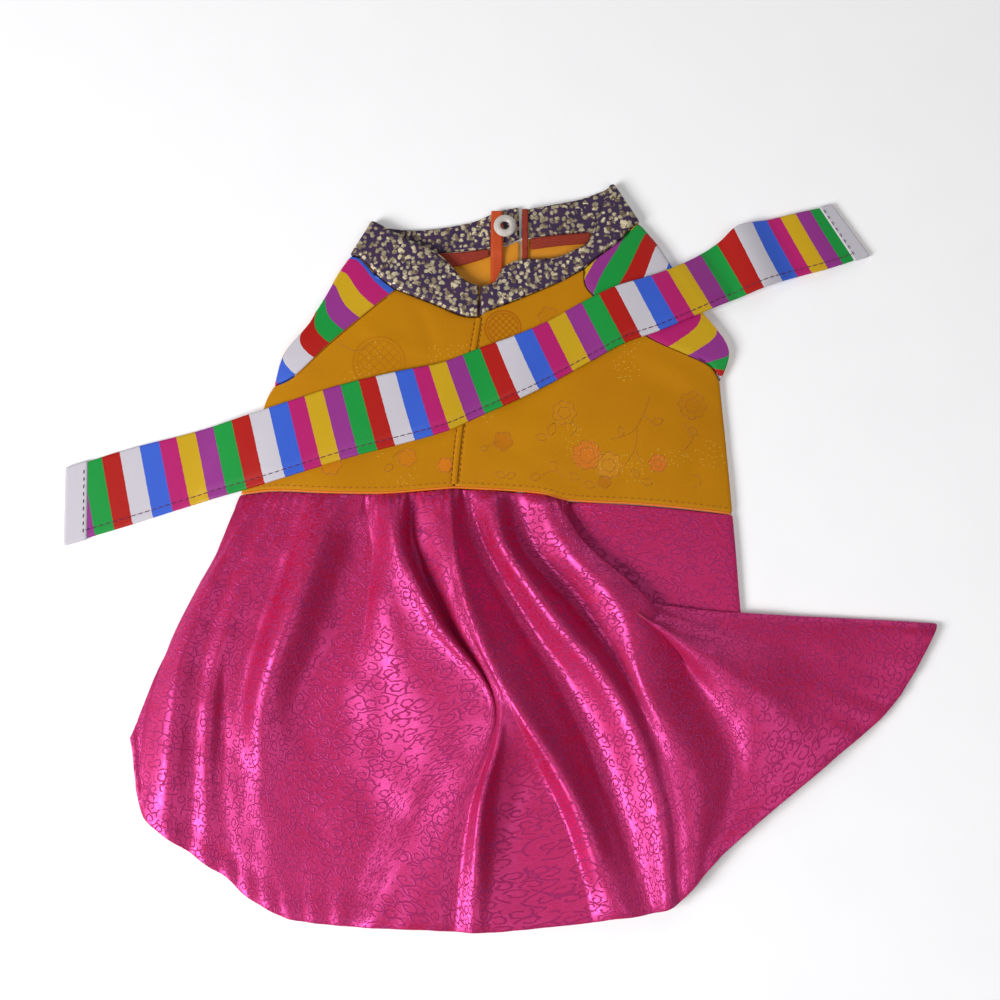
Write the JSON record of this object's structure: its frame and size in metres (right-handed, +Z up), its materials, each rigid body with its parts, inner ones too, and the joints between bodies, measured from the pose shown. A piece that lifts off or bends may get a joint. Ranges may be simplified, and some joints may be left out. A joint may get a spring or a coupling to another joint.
{
  "type": "dog hanbok dress, laid flat",
  "caption": "Small dog's hanbok laid flat: gold brocade bodice, striped cap sleeves and sash, navy collar with a back snap, gathered magenta skirt with a flared flap.",
  "frame": {"origin": "on the surface it lies on, under the middle of the garment's box", "axes": "+Z up from the surface, +Y from hem to neck, +X to the right of someone who looks down at its front"},
  "size_m": [0.3737, 0.3217, 0.0153],
  "materials": {
    "gold_brocade": "gold satin brocade with tone on tone medallions and flower sprays",
    "navy_brocade": "navy and purple brocade with dense pale gold flecks",
    "striped_satin": "satin with traditional multicolour stripes",
    "pink_jacquard": "glossy magenta jacquard satin with a fine scroll figure",
    "red_tape": "dark red woven tape",
    "placket_cloth": "red-orange satin facing",
    "snap_plastic": "clear to milky moulded plastic"
  },
  "bodies": {
    "root": {"front_left": "gold_brocade", "front_right": "gold_brocade", "back_left": "gold_brocade", "back_right": "gold_brocade", "collar_left": "navy_brocade", "collar_right": "navy_brocade", "neck_tape_left": "red_tape", "neck_tape_right": "red_tape", "placket_tab": "placket_cloth", "back_edge_binding": "red_tape", "sleeve_left": "striped_satin", "sleeve_right": "striped_satin", "skirt_back": "pink_jacquard", "skirt_front": "pink_jacquard", "sash": "striped_satin", "snap_socket": "snap_plastic", "snap_stud": "snap_plastic"}
  },
  "joints": []
}
